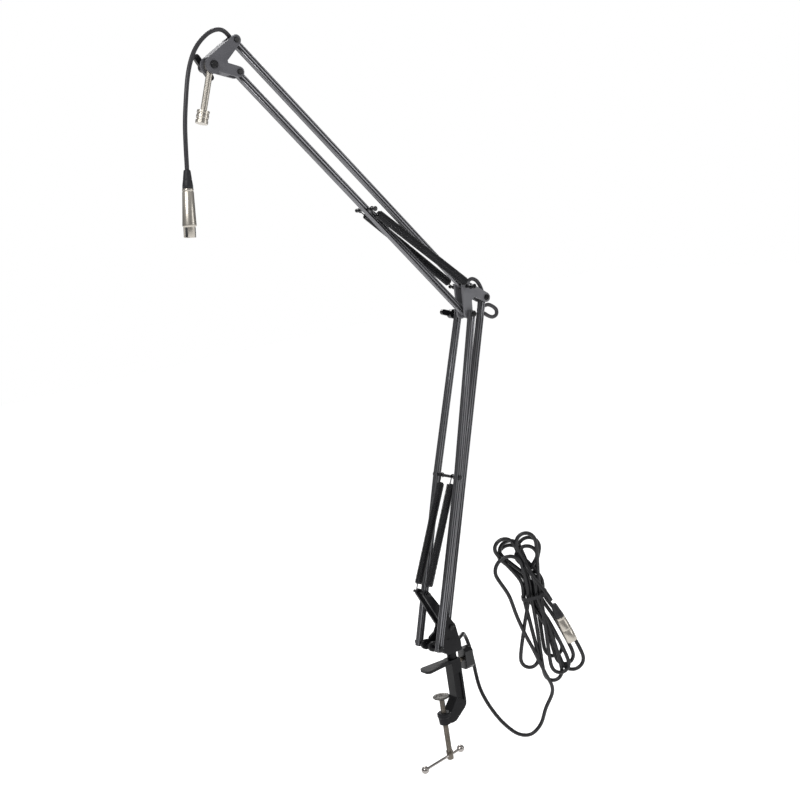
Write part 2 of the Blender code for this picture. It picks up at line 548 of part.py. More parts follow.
# The coiled cable: one closed outline in the upright plane through the post.
HX, HY = math.cos(math.radians(-34.6)), math.sin(math.radians(-34.6))
hank_m = Matrix.Translation((POST[0] * MM, POST[1] * MM, RISE * MM)) @ Matrix(((HX, 0, HY), (HY, 0, -HX), (0, 1, 0))).to_4x4()
hank_loop = [(84, 163), (92, 171), (120, 171), (130, 158), (143, 90), (168, 20), (186, -20), (184, -36), (172, -47), (150, -55),
             (112, -55), (104, -40), (104, 50), (82, 122), (80, 150)]
keep(outline("cable_hank", [hank_loop], 26.0, hank_m), "cable")
NX, NY = HY, -HX
front = lambda h, z, off: Vector((POST[0] + HX * h + NX * off, POST[1] + HY * h + NY * off, z + RISE))
MX0, MX1 = front(149.5, 71.5, 23.5), front(170.5, 10, 23.5)
x_m = along(MX0, MX1)
keep(turned("xlr_male_boot", [(0, 25.6), (6.6, 25.6), (6.6, 20), (5.8, 12), (4.0, 0), (0, 0)], x_m, 20), "rubber")
m_len = (MX1 - MX0).length
m_shell = turned("xlr_male_shell", [(0, m_len), (8.1, m_len), (8.1, 38), (7.9, 28), (7.2, 26), (0, 26)], x_m, 24)
cut(m_shell, rod("xlr_male_bore", MX0 + (MX1 - MX0) * 0.74, MX1 + (MX1 - MX0) * 0.2, 7.1, 24))
keep(m_shell, "nickel")
for i, a in enumerate((90, 210, 330)):
    off = x_m.to_3x3() @ Vector((3.6 * math.cos(math.radians(a)), 3.6 * math.sin(math.radians(a)), 0))
    keep(rod(f"xlr_male_pin_{i + 1}", MX0 + (MX1 - MX0) * 0.745 + off, MX0 + (MX1 - MX0) * 0.95 + off, 1.2, 10), "brass")
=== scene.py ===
import math

import bmesh
import bpy
from mathutils import Matrix, Vector


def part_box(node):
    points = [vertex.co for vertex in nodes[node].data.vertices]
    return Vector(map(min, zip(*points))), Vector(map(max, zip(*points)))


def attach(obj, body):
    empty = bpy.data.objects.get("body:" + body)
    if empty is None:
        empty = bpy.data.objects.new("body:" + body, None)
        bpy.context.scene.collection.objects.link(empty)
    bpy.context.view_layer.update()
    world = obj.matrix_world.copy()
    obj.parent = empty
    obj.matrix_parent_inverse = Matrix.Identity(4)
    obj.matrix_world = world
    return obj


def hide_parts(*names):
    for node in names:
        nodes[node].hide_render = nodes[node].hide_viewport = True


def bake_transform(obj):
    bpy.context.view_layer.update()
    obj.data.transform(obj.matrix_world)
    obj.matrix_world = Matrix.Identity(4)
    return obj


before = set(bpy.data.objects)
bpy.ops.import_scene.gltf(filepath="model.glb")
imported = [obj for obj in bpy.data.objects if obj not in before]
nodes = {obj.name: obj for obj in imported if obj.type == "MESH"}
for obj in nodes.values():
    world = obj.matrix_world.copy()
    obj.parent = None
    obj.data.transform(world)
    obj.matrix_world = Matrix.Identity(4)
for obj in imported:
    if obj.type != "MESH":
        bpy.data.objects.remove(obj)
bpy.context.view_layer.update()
MM = 0.001

# ---- the design's own numbers, in mm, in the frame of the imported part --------
POST = (29.0, 0.0)
ARM_Y = POST[1]
RISE = 3.0


def plus(a, b, s=1.0):
    return (a[0] + s * b[0], a[1] + s * b[1])


def turn(a):
    return math.sin(math.radians(a)), math.cos(math.radians(a))


# (x, z) of the pivots, from the base to the head: front and rear base bolts, and the lower springs' pin
A0 = (POST[0] - 36.0, 33.0 + RISE)
B0 = plus(A0, (35.0, 17.5))
S1 = plus(A0, (1.5, 77.4))
# the two sections' directions at rest, and the distance between their pivots
LOW = turn(18)
UPP = (-math.cos(math.radians(50)), math.sin(math.radians(50)))
LINK = 470.0
P_LOW, P_REAR = plus(A0, LOW, LINK), plus(B0, LOW, LINK)
P_TOP = plus(P_LOW, (2.5, 38.8))
# how far up each section its crossbar is, and the crossbars themselves, which the springs hook on to
LOWER_BAR, UPPER_BAR = 240, 218
BAR_L, BAR_U = plus(A0, LOW, LOWER_BAR), plus(P_LOW, UPP, UPPER_BAR)
HEAD = plus(P_LOW, UPP, LINK)
HEAD1 = plus(HEAD, (2.5, 38.8))
CABLE = 5.5


def at(p, y=0.0):
    return Vector((p[0], ARM_Y + y, p[1])) * MM


def from_post(points):
    """Points given from the swivel post's axis and RISE, in the frame."""
    return [(POST[0] + x, POST[1] + y, z + RISE) for x, y, z in points]


# ---- camera -------------------------------------------------------------------
az, el, roll = (math.radians(v) for v in (-34.59, 9.69, -8.58))
back = Vector((math.sin(az) * math.cos(el), -math.cos(az) * math.cos(el), math.sin(el)))
right0 = Vector((math.cos(az), math.sin(az), 0))
up0 = back.cross(right0)
right = right0 * math.cos(roll) + up0 * math.sin(roll)
up = up0 * math.cos(roll) - right0 * math.sin(roll)
cam = bpy.data.cameras.new("camera")
cam.lens, cam.sensor_width = 61.08, 36.0
cam.clip_end = 20
camera = bpy.data.objects.new("camera", cam)
CAMERA_AT = (-1.03418, -1.50901, 0.7005)
camera.matrix_world = Matrix.Translation(CAMERA_AT) @ Matrix((right, up, back)).transposed().to_4x4()
bpy.context.collection.objects.link(camera)
bpy.context.scene.camera = camera


# ---- materials ------------------------------------------------------------------
def mat(name, colour, rough, metal=0.0, vary=0.15, grain=900.0, bump=0.15, depth=0.0002, wear=None,
        stretch=(1, 1, 1), spec=0.5, patch=0.08):
    """Paint, metal, plastic or rubber: colour mottling, patchy roughness, fine surface grain and worn edges.

    vary and patch are how far colour and roughness wander; wear is the colour of worn edges.
    """
    m = bpy.data.materials.new(name)
    m.use_nodes = True
    nt = m.node_tree
    b = nt.nodes["Principled BSDF"]
    b.inputs["Metallic"].default_value = metal
    b.inputs["Specular IOR Level"].default_value = spec
    new, link = nt.nodes.new, nt.links.new
    co = new("ShaderNodeTexCoord")
    mp = new("ShaderNodeMapping")
    mp.inputs["Scale"].default_value = stretch
    link(co.outputs["Object"], mp.inputs["Vector"])
    big = new("ShaderNodeTexNoise")
    big.inputs["Scale"].default_value = 45
    big.inputs["Detail"].default_value = 6
    link(mp.outputs[0], big.inputs["Vector"])
    fine = new("ShaderNodeTexNoise")
    fine.inputs["Scale"].default_value = grain
    fine.inputs["Detail"].default_value = 3
    link(mp.outputs[0], fine.inputs["Vector"])
    ramp = new("ShaderNodeValToRGB")
    dark, pale = ramp.color_ramp.elements
    dark.position, pale.position = 0.3, 0.7
    dark.color = (*[c * (1 - vary) for c in colour], 1)
    pale.color = (*[min(1, c * (1 + vary)) for c in colour], 1)
    link(big.outputs["Fac"], ramp.inputs["Fac"])
    last = ramp.outputs["Color"]
    if wear:
        geo = new("ShaderNodeNewGeometry")
        edge = new("ShaderNodeValToRGB")
        flat, sharp = edge.color_ramp.elements
        flat.position, sharp.position = 0.56, 0.72
        link(geo.outputs["Pointiness"], edge.inputs["Fac"])
        mix = new("ShaderNodeMix")
        mix.data_type = "RGBA"
        link(edge.outputs["Color"], mix.inputs[0])
        link(last, mix.inputs[6])
        mix.inputs[7].default_value = (*wear, 1)         # 6 and 7 are the mix node's two colours
        last = mix.outputs[2]
    link(last, b.inputs["Base Color"])
    rg = new("ShaderNodeMapRange")
    rg.inputs["To Min"].default_value = max(0.03, rough - patch)
    rg.inputs["To Max"].default_value = rough + patch
    link(big.outputs["Fac"], rg.inputs["Value"])
    link(rg.outputs[0], b.inputs["Roughness"])
    bp = new("ShaderNodeBump")
    bp.inputs["Strength"].default_value = bump
    bp.inputs["Distance"].default_value = depth
    link(fine.outputs["Fac"], bp.inputs["Height"])
    link(bp.outputs[0], b.inputs["Normal"])
    return m


TUBE = mat("gunmetal_anodised", (0.17, 0.17, 0.18), 0.3, 0.9, 0.08, 1400, 0.02, 0.00005,
           stretch=(1, 1, 0.1), patch=0.03)
# painted shade: the channel floors and the inside of the bore are coloured near-black for the shade that falls into
# them, not a different finish of the tube
GROOVE_SHADE = mat("tube_groove", (0.008, 0.008, 0.009), 0.5, 0.2, 0.1, 1200, 0.05, 0.00005, spec=0.2)
HEADM = mat("grey_powder_coat", (0.1, 0.1, 0.11), 0.5, 0.1, 0.1, 1100, 0.3, 0.00006,
            wear=(0.14, 0.14, 0.15), spec=0.15)
ELBOWM = mat("grey_powder_coat_light", (0.15, 0.15, 0.16), 0.5, 0.15, 0.1, 1100, 0.3, 0.00006,
             wear=(0.2, 0.2, 0.21), spec=0.15)
BLACK = mat("black_powder_coat", (0.006, 0.006, 0.007), 0.42, 0.0, 0.2, 1100, 0.3, 0.00006,
            wear=(0.022, 0.022, 0.025), spec=0.15)
PLASTIC = mat("black_moulded_plastic", (0.005, 0.005, 0.006), 0.27, 0.0, 0.15, 1100, 0.1, 0.00005, spec=0.4)
SPRING = mat("blackened_spring_steel", (0.018, 0.018, 0.02), 0.33, 0.5, 0.2, 1500, 0.05, 0.00005, spec=0.3)
NICKEL = mat("satin_nickel", (0.48, 0.45, 0.40), 0.32, 1.0, 0.03, 900, 0.0, 0.00003, patch=0.02)
ZINC = mat("zinc_plated_steel", (0.15, 0.133, 0.113), 0.34, 1.0, 0.12, 900, 0.03, 0.00004, patch=0.05)
CHROME = mat("chrome_plate", (0.33, 0.31, 0.295), 0.13, 1.0, 0.04, 700, 0.01, 0.00003, patch=0.03)
PAD = mat("dull_pressed_steel", (0.085, 0.081, 0.075), 0.36, 1.0, 0.12, 900, 0.03, 0.00004, patch=0.05)
BOLT = mat("blackened_steel", (0.004, 0.004, 0.005), 0.14, 0.0, 0.1, 1100, 0.03, 0.00003, spec=0.25,
           patch=0.03)
PVC = mat("black_pvc_jacket", (0.008, 0.008, 0.0095), 0.36, 0.0, 0.15, 1300, 0.1, 0.00005, spec=0.4)
PVC_GREY = mat("grey_pvc_jacket", (0.028, 0.027, 0.031), 0.4, 0.0, 0.12, 1300, 0.1, 0.00005, spec=0.4)
RUBBER = mat("soft_rubber", (0.012, 0.012, 0.014), 0.5, 0.0, 0.1, 1500, 0.2, 0.00005, spec=0.35)
BRASS = mat("gold_plated_brass", (0.5, 0.36, 0.16), 0.25, 1.0, 0.05, 900, 0.01, 0.00003)

LOOK = {
    "clamp_frame": BLACK, "base_bracket": BLACK, "swivel_post": BLACK, "elbow_bracket": ELBOWM, "head_bracket": HEADM,
    "clamp_screw": ZINC, "clamp_pad": ZINC, "arm_lock_screw": ZINC, "mic_stem": NICKEL, "thread_adapter": NICKEL,
    "xlr_female_shell": NICKEL, "xlr_male_shell": NICKEL, "xlr_female_boot": RUBBER, "xlr_male_boot": RUBBER,
    "xlr_female_insert": PLASTIC, "tommy_bar": CHROME, "arm_lock_knob": PLASTIC, "elbow_wing_knob": PLASTIC,
    "head_wing_knob": PLASTIC,
}
EDGE = {"clamp_frame": 0.9, "base_bracket": 0.45, "elbow_bracket": 0.45, "elbow_wing_knob": 0.8,
        "head_wing_knob": 0.8, "arm_lock_knob": 0.8, "mic_stem": 0.3}


def look_of(name):
    """A CAD node's material: its own, or the one for its kind."""
    if name in LOOK:
        return LOOK[name]
    if name.startswith("xlr_male_pin_"):
        return BRASS
    if "cable" in name:
        return PVC
    if "tube" in name:
        return TUBE
    if name.endswith(("_far", "_near")):
        return SPRING
    return BOLT if name.endswith(("_bolt", "_axle", "_pin")) else PLASTIC


for name, ob in nodes.items():
    for slot in ob.material_slots:
        slot.material = look_of(name)
    if name in EDGE:
        bv = ob.modifiers.new("edges", "BEVEL")
        bv.width, bv.segments = EDGE[name] * MM, 2
        bv.limit_method, bv.angle_limit = "ANGLE", math.radians(40)


# ---- helpers for new pieces --------------------------------------------------------
def add(name, mesh, look, body, *stands_for):
    """A new piece that rides on a body and may stand for CAD nodes."""
    ob = bpy.data.objects.new(name, mesh)
    bpy.context.collection.objects.link(ob)
    for m in look if isinstance(look, (list, tuple)) else [look]:
        ob.data.materials.append(m)
    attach(ob, body)
    if stands_for:
        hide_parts(*stands_for)
    return ob


def spline(points, step):
    """A smooth curve through points, with no overshoot where long and short gaps meet."""
    pts = [Vector(p) for p in points]
    pts = [2 * pts[0] - pts[1]] + pts + [2 * pts[-1] - pts[-2]]
    out = []
    for p0, p1, p2, p3 in zip(pts, pts[1:], pts[2:], pts[3:]):
        n = max(1, round((p2 - p1).length / step))
        u1 = math.sqrt((p1 - p0).length)
        u2 = u1 + math.sqrt((p2 - p1).length)
        u3 = u2 + math.sqrt((p3 - p2).length)
        for i in range(n):
            u = u1 + (u2 - u1) * i / n
            a = p0 + (p1 - p0) * (u / u1)
            b = p1 + (p2 - p1) * ((u - u1) / (u2 - u1))
            c = p2 + (p3 - p2) * ((u - u2) / (u3 - u2))
            d = a + (b - a) * (u / u2)
            e = b + (c - b) * ((u - u1) / (u3 - u1))
            out.append(d + (e - d) * ((u - u1) / (u2 - u1)))
    return out + [pts[-2]]


def relax(points, rounds):
    """Evens out a path's bends; its ends stay."""
    for _ in range(rounds):
        inner = [(a + 2 * b + c) / 4 for a, b, c in zip(points, points[1:], points[2:])]
        points = [points[0]] + inner + [points[-1]]
    return points


def tube_mesh(name, points, r, sides=14):
    """A round tube swept along points (metres) with a frame that doesn't twist; its ends are flat and closed."""
    bm = bmesh.new()
    n = len(points)
    tang = [(points[min(i + 1, n - 1)] - points[max(i - 1, 0)]).normalized() for i in range(n)]
    side = tang[0].orthogonal().normalized()
    rings = []
    for p, t in zip(points, tang):
        side = (side - t * side.dot(t)).normalized()
        other = t.cross(side)
        angles = [2 * math.pi * k / sides for k in range(sides)]
        rings.append([bm.verts.new(p + (side * math.cos(a) + other * math.sin(a)) * r) for a in angles])
    for a, b in zip(rings, rings[1:]):
        for k in range(sides):
            bm.faces.new((a[k], a[(k + 1) % sides], b[(k + 1) % sides], b[k]))
    bm.faces.new(list(reversed(rings[0])))
    bm.faces.new(rings[-1])
    for f in bm.faces:
        f.smooth = len(f.verts) == 4
    me = bpy.data.meshes.new(name)
    bm.to_mesh(me)
    bm.free()
    return me


# ---- grooved square tubes -------------------------------------------------------------
def tube_profile():
    """A square outline with rounded corners and two fine channels along each face; 1 marks a channel's floor, which
    is painted near-black as shade.
    """
    h, c, d = 4.25, 1.0, 0.6        # half width, corner radius and channel depth
    face = [(h, -2.75, 0), (h - d, -2.35, 1), (h - d, -1.15, 0), (h, -0.75, 0),
            (h, 0.75, 0), (h - d, 1.15, 1), (h - d, 2.35, 0), (h, 2.75, 0)]
    bends = [math.radians(a) for a in (0, 30, 60, 90)]
    corner = [(h - c + c * math.cos(a), h - c + c * math.sin(a), 0) for a in bends]
    pts = []
    for k in range(4):
        rot = Matrix.Rotation(k * math.pi / 2, 2)
        pts += [(*(rot @ Vector(q[:2])), q[2]) for q in face + corner]
    return pts


BORE = 0.78         # the bore's size as a share of the outline's


def arm_tube(name, stations, body, node):
    """Sweeps the grooved outline through stations and keeps the bore open at both ends; the channel floors and the
    bore's inside take the painted shade.
    """
    prof = tube_profile()
    bm = bmesh.new()
    d = Vector(stations[-1]) - Vector(stations[0])
    d.y = 0
    d.normalize()
    x = Vector((0, 1, 0)).cross(d).normalized()
    y = Vector((0, 1, 0))
    outer_r, inner_r = [], []
    for s in stations:
        s = Vector(s)
        outer_r.append([bm.verts.new((s + x * a + y * b) * MM) for a, b, _ in prof])
        inner_r.append([bm.verts.new((s + (x * a + y * b) * BORE) * MM) for a, b, _ in prof])
    n = len(prof)
    for rings, flip in ((outer_r, False), (inner_r, True)):
        for p, q in zip(rings, rings[1:]):
            for k in range(n):
                v = (p[k], p[(k + 1) % n], q[(k + 1) % n], q[k])
                f = bm.faces.new(v[::-1] if flip else v)
                # channel floors and the bore's inside take the painted shade, material 1
                f.material_index = 1 if (prof[k][2] or flip) else 0
                f.smooth = k % 12 >= 8          # the corner's faces, after the 8 flat ones
    for o, i, flip in ((outer_r[0], inner_r[0], True), (outer_r[-1], inner_r[-1], False)):
        for k in range(n):
            v = (o[k], o[(k + 1) % n], i[(k + 1) % n], i[k])
            bm.faces.new(v[::-1] if flip else v)
    bmesh.ops.recalc_face_normals(bm, faces=bm.faces)
    me = bpy.data.meshes.new(name)
    bm.to_mesh(me)
    bm.free()
    return add(name, me, [TUBE, GROOVE_SHADE], body, node)


def straight(p, q, o0, o1):
    """A tube's two ends, o0 and o1 mm past the pivots p and q."""
    u = Vector((q[0] - p[0], q[1] - p[1])).normalized()
    return [(p[0] - u.x * o0, ARM_Y, p[1] - u.y * o0), (q[0] + u.x * o1, ARM_Y, q[1] + u.y * o1)]


arm_tube("rear_tube_grooved", straight(B0, P_REAR, 5, 5), "rear_link", "lower_rear_tube")
arm_tube("top_tube_grooved", straight(P_TOP, HEAD1, 4, 3), "top_link", "upper_arm_top_tube")
arm_tube("bottom_tube_grooved", straight(P_LOW, HEAD, 4, 3), "bottom_link", "upper_arm_bottom_tube")
# the front pair widens a little up to its crossbar, then closes towards the elbow
for word, side in (("far", 1), ("near", -1)):
    st = []
    for t in (-5, 120, 225, 235, 245, 255, 360, 475):
        y = 23.0 + 0.9 * t / LOWER_BAR if t <= LOWER_BAR else 23.9 - 8.6 * (t - LOWER_BAR) / (LINK - LOWER_BAR)
        p = plus(A0, LOW, t)
        st.append((p[0], ARM_Y + side * y, p[1]))
    arm_tube(f"front_tube_{word}_grooved", st, "front_pair", f"lower_front_tube_{word}")


# ---- turned pieces --------------------------------------------------------------------------
def frame_along(p0, p1):
    """A matrix at p0 (metres) whose Z points to p1."""
    z = (p1 - p0).normalized()
    x = Vector((0, 1, 0)).cross(z).normalized()
    return Matrix.Translation(p0) @ Matrix((x, z.cross(x), z)).transposed().to_4x4()


def lathe(name, profile, matrix, look, body, node, sides=32, shape=None, dark=None):
    """A turned piece from (radius, height) points in mm.

    shape(radius, height, angle) may change a radius; dark(...) picks the faces that take the second material.
    """
    bm = bmesh.new()
    rings = []
    for r, z in profile:
        if r == 0:
            rings.append([bm.verts.new(matrix @ Vector((0, 0, z * MM)))])
            continue
        ring = []
        for k in range(sides):
            a = 2 * math.pi * k / sides
            q = (shape(r, z, a) if shape else r) * MM
            ring.append(bm.verts.new(matrix @ Vector((q * math.cos(a), q * math.sin(a), z * MM))))
        rings.append(ring)
    for i, (p, q) in enumerate(zip(rings, rings[1:])):
        flat = abs(profile[i][1] - profile[i + 1][1]) < 0.05 or abs(profile[i][0] - profile[i + 1][0]) > 1.5
        for k in range(sides):
            n = (k + 1) % sides
            if len(p) == 1:
                v = [p[0], q[n], q[k]]
            elif len(q) == 1:
                v = [p[k], p[n], q[0]]
            else:
                v = [p[k], p[n], q[n], q[k]]
            f = bm.faces.new(v)
            f.smooth = not flat
            if dark and dark(profile[i][0], profile[i][1], 2 * math.pi * (k + 0.5) / sides):
                f.material_index = 1
    bmesh.ops.recalc_face_normals(bm, faces=bm.faces)
    me = bpy.data.meshes.new(name)
    bm.to_mesh(me)
    bm.free()
    return add(name, me, look, body, *([node] if node else []))


def threaded(major, minor, pitch):
    """A helical thread's radius at a height and angle."""
    def shape(r, z, a):
        if abs(r - major) > 1e-6:
            return r
        t = (z / pitch - a / (2 * math.pi)) % 1
        return minor + (major - minor) * abs(2 * t - 1)
    return shape


# clamp screw, in heights on its own axis: the pad's face, the screw's lower end, and where its thread starts
PAD_Z, SCREW_END = -42.3, -138.5
THREAD_TOP, PITCH, RIDGE = PAD_Z - 6.2, 1.25, 0.3
screw_at = Matrix.Translation(Vector((POST[0] - 28.5, POST[1], 0)) * MM)
ridges = [(4.0, THREAD_TOP - RIDGE * i) for i in range(int((THREAD_TOP - SCREW_END - 14.2) / RIDGE))]
lathe("screw_threaded", [(0, PAD_Z - 6.0), (3.4, PAD_Z - 6.0)] + ridges
      + [(3.9, SCREW_END + 14), (4.9, SCREW_END + 13), (4.9, SCREW_END + 0.8), (4.3, SCREW_END), (0, SCREW_END)],
      screw_at, ZINC, "screw", "clamp_screw", 24, threaded(4.0, 3.45, PITCH))
cup = [(0, -1.6), (3.0, -1.6), (3.4, -1.0), (7.0, -1.2), (8.0, -0.3), (10.8, 0), (11.9, -0.3), (12.4, -1.0),
       (11.0, -2.6), (5.6, -3.4), (5.0, -4.0), (5.0, -5.4), (4.6, -5.7), (0, -5.7)]
lathe("pad_cupped", [(r, PAD_Z + z) for r, z in cup], screw_at, PAD, "pad", "clamp_pad")

low, high = (Vector(v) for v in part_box("tommy_bar"))
bar_mid, bar_way = (low + high) / 2, Vector((0.984, 0.18, 0)).normalized()
BALL, SPREAD = 5.6, 38.0        # a ball's radius, and how far it is from the bar's middle
ball = [(BALL * math.cos(math.radians(a)), SPREAD + BALL * math.sin(math.radians(a))) for a in range(75, -71, -15)]
half_bar = [(0, SPREAD + BALL)] + ball + [(2.0, SPREAD - 5.7)]
lathe("bar_turned", half_bar + [(r, -z) for r, z in reversed(half_bar)],
      frame_along(bar_mid, bar_mid + bar_way), CHROME, "handle", "tommy_bar")

# female XLR, in heights from the boot's top
FX0, FX1 = (Vector(q) * MM for q in from_post([(-293.3, -20, 735.4), (-305.5, -20, 650.0)]))
female = frame_along(FX0, FX1)
F_LEN = (FX1 - FX0).length / MM
BOOT = [(0, 5.4), (3.4, 5.4), (4.1, 6.0), (4.4, 7.4), (4.8, 11), (5.4, 16), (5.45, 16.3), (5.3, 16.6),
        (5.35, 17.4), (5.6, 17.7), (6.1, 21), (6.5, 24), (6.7, 27.4), (0, 27.6)]
lathe("female_boot_ribbed", BOOT, female, RUBBER, "head", "xlr_female_boot")
NOSE = F_LEN - 13.0         # where the shell steps down to its slotted nose


def in_slot(r, a):
    """Whether an outer point of the nose is in one of its three slots."""
    return r > 6.9 and (a * 3 / (2 * math.pi) + 0.35) % 1 < 0.3


def slots(r, z, a):
    """Three slots round the connector's nose."""
    return r - 0.9 if z > NOSE + 1.0 and in_slot(r, a) else r


def slot_floor(r, z, a):
    """Whether a face is in one of the slots."""
    return z > NOSE + 0.5 and in_slot(r, a)


shell = [(0, 27.8), (6.6, 27.8), (6.9, 28.2), (6.9, 30.4), (6.6, 30.7), (6.7, 31.6), (7.0, 32.0), (8.3, 66),
         (8.6, 70.5), (8.6, NOSE - 1.2), (8.3, NOSE - 0.4), (7.5, NOSE), (7.5, NOSE + 0.9), (7.5, NOSE + 1.1),
         (7.5, F_LEN - 0.5), (7.2, F_LEN), (6.5, F_LEN), (6.4, F_LEN - 0.6), (6.4, F_LEN - 9), (0, F_LEN - 9)]
lathe("female_shell_turned", shell, female, [NICKEL, PLASTIC], "head", "xlr_female_shell", 48, slots, slot_floor)
face_z = F_LEN - 2.6
lathe("female_insert_turned", [(0, face_z), (6.0, face_z), (6.3, face_z + 0.3), (6.3, face_z - 6), (0, face_z - 6)],
      female, PLASTIC, "head", "xlr_female_insert")
contact = [(0, face_z - 0.2), (0.95, face_z - 0.2), (0.95, face_z + 0.15), (1.4, face_z + 0.15), (1.4, face_z - 0.5),
           (0, face_z - 0.5)]
for i, a in enumerate((90, 210, 330)):
    hole = Vector((3.6 * math.cos(math.radians(a)), 3.6 * math.sin(math.radians(a)), 0)) * MM
    lathe(f"female_contact_{i + 1}", contact, female @ Matrix.Translation(hole), BRASS, "head", None, 16)


# ---- springs: close-wound coils with a hook at each end ------------------------------------
def spring(name, p0, y0, p1, y1, pin0, pin1):
    """A coil between two points, hooked round a pin at each end; the coil fills the length between the hooks, and its
    end turns are narrower.
    """
    s, e = at(p0, y0), at(p1, y1)
    d = (e - s).normalized()
    x = Vector((0, 1, 0))
    x = (x - d * x.dot(d)).normalized()
    y = d.cross(x)
    wire, r, gap, hook_length = (v * MM for v in (1.6, 5.15, 1.72, 10.5))
    first, last = s + d * hook_length, e - d * hook_length
    turns = int((last - first).length / gap)
    pts = []

    def hook(c, way, rr):
        angles = [math.radians(v) for v in range(-150, 151, 25)]
        return [c - way * rr * math.cos(v) + y * rr * math.sin(v) for v in angles]

    pts += hook(s, d, (pin0 + 1.0) * MM)
    pts += [first - d * 2.4 * MM + y * 1.5 * MM]
    for i in range(turns * 12 + 1):
        q = 2 * math.pi * i / 12
        f = i / (turns * 12)
        k = r * min(1.0, 0.45 + 0.55 * min(i, turns * 12 - i) / 10)
        pts.append(first + (last - first) * f + (x * math.sin(q) + y * math.cos(q)) * k)
    pts += [last + d * 2.4 * MM + y * 1.5 * MM]
    pts += hook(e, -d, (pin1 + 1.0) * MM)[::-1]
    me = tube_mesh(name, pts, wire / 2, 7)
    ob = bpy.data.objects.new(name, me)
    bpy.context.collection.objects.link(ob)
    me.materials.append(SPRING)
    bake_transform(ob)
    return ob


for word, sd in (("far", 1), ("near", -1)):
    lower = spring(f"lower_coil_{word}", S1, 12 * sd, BAR_L, 12 * sd, 1.6, 2.2)
    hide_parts(f"lower_spring_{word}")
    upper = spring(f"upper_coil_{word}", P_TOP, 19.5 * sd, BAR_U, 14 * sd, 2.2, 2.2)
    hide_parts(f"upper_spring_{word}")

# ---- cables --------------------------------------------------------------------------------
e0, e1 = plus(HEAD1, UPP, 3.6), plus(HEAD1, UPP, 8.0)
head_route = [(e0[0], ARM_Y, e0[1]), (e1[0], ARM_Y, e1[1])]
head_route += from_post([
    (-198.3, -1, 889), (-203.5, -2.2, 892.5), (-211, -4, 893.8), (-221, -5.5, 892), (-231.5, -8, 887.2),
    (-242.5, -10.8, 880), (-253, -13.5, 870.3), (-262.5, -16, 856.8), (-270.5, -18.2, 840.5),
    (-278.5, -20, 816), (-286, -20, 785), (-290.3, -20, 758), (-293.2, -20, 736), (-294.3, -20, 728.5)])
hp = relax([p * MM for p in spline(head_route, 3.0)], 6)
head = add("head_cable_run", tube_mesh("head_cable_run", hp, CABLE / 2 * MM), PVC_GREY, "head", "head_cable")


ARCH = [(121.5, 0, 523.5), (129, 0, 526.5), (137, 0, 523.5), (143, 0, 515), (146, 0, 505.5)]
LOOP = [(145.6, 0, 485), (153, 0, 485.3), (161, 0, 481.5), (167, 0, 475), (166, 0, 469), (159, 0, 466.5),
        (151, 0, 469.5), (144.2, 0, 474.5)]
for name, body, node, route in (("elbow_arch_run", "elbow", "elbow_cable_arch", ARCH),
                                ("elbow_loop_run", "rear_link", "elbow_cable_loop", LOOP)):
    path = [q * MM for q in spline(from_post(route), 1.2)]
    add(name, tube_mesh(name, path, CABLE / 2 * MM), PVC_GREY, body, node)

# the direction across the coiled cable, in plan
HX, HY = math.cos(math.radians(-34.6)), math.sin(math.radians(-34.6))


def hank(h, n, z):
    """A point of the coiled cable: across, towards the viewer's side, and up."""
    return Vector((POST[0] + HX * h + HY * n, POST[1] + HY * h - HX * n, z + RISE))


tail_route = [Vector(p) for p in from_post([
    (12.6, 0, 25), (18.5, 0.5, 25.8), (25, 3, 28), (32, 8.5, 27), (38, 13.5, 20), (41.5, 12.5, 6),
    (42.5, 10.5, -10), (42.8, 8.5, -27), (42.4, 6, -43), (41, -0.5, -60), (42.4, -10.2, -78),
    (47.9, -21.9, -98.7), (54.7, -32.3, -113.9), (66, -45, -128), (80, -54, -131), (93, -63, -118),
    (101, -69, -95)])]
RISER = [(136, 4, -66), (127, 9, -35), (116, 10, 0), (108, 10, 22), (99, 10, 53), (92, 10, 85), (83, 10, 104),
         (77, 9, 119), (83, 9, 134), (98, 9, 141), (112, 10, 136)]
tail_route += [hank(*p) for p in RISER]
# each turn: where it goes down through the tie, its bottom bend, where it comes up, and its top bend;
# a bend has its place across, its depth, its outermost height and its half width
TURNS = [((119, 7), (109, 6, -28, 12.8), (113, 2), (96, 3, 166, 15)),
         ((124, 3), (140, 2, -54, 12.8), (131, 7), (126, 7, 171, 14)),
         ((137, 5), (151, 7, -42, 12.8), (125, -3), (103.5, -3, 160, 15.5)),
         ((130, 0), (160, -3, -34, 12.8), (136, -2), (125, 1, 150, 15.5)),
         ((119, -4), (170, 1, -42, 16), (142, 0), (130, -6, 160, 15.5)),
         ((131, -7), (146, -9, -22, 12.8), (119, -9), (102, -9, 152, 16))]
ARC = [(math.cos(a), math.sin(a)) for a in (math.radians(v) for v in range(0, 181, 30))]
OVER_TIE, TIE_Z, FAN_Z = 100, 76, 34         # the turns run together at the tie and fan out below it
for (dh, dn), (bh, bn, bz, bw), (uh, un), (th, tn, tz, tw) in TURNS:
    tail_route += [hank(dh, dn, OVER_TIE), hank(dh, dn, TIE_Z)]
    tail_route += [hank(dh + (bh - bw - dh) * 0.5, dn + (bn - dn) * 0.5, FAN_Z)]
    tail_route += [hank(bh - bw * c, bn, bz + bw - bw * s) for c, s in ARC]
    tail_route += [hank(uh + (bh + bw - uh) * 0.5, un + (bn - un) * 0.5, FAN_Z)]
    tail_route += [hank(uh, un, TIE_Z), hank(uh, un, OVER_TIE - 2)]
    tail_route += [hank(th - tw * c, tn, tz - tw + tw * s) for c, s in ARC]
tail_route += [hank(122, 14, 122), hank(134, 20, 100), hank(143, 23, 86), hank(149, 23.5, 72.5)]
tp = relax([p * MM for p in spline(tail_route, 3.2)], 4)
tail = bpy.data.objects.new("tail_cable_run", tube_mesh("tail_cable_run", tp, CABLE / 2 * MM, 12))
tail.data.materials.append(PVC)
bpy.context.collection.objects.link(tail)
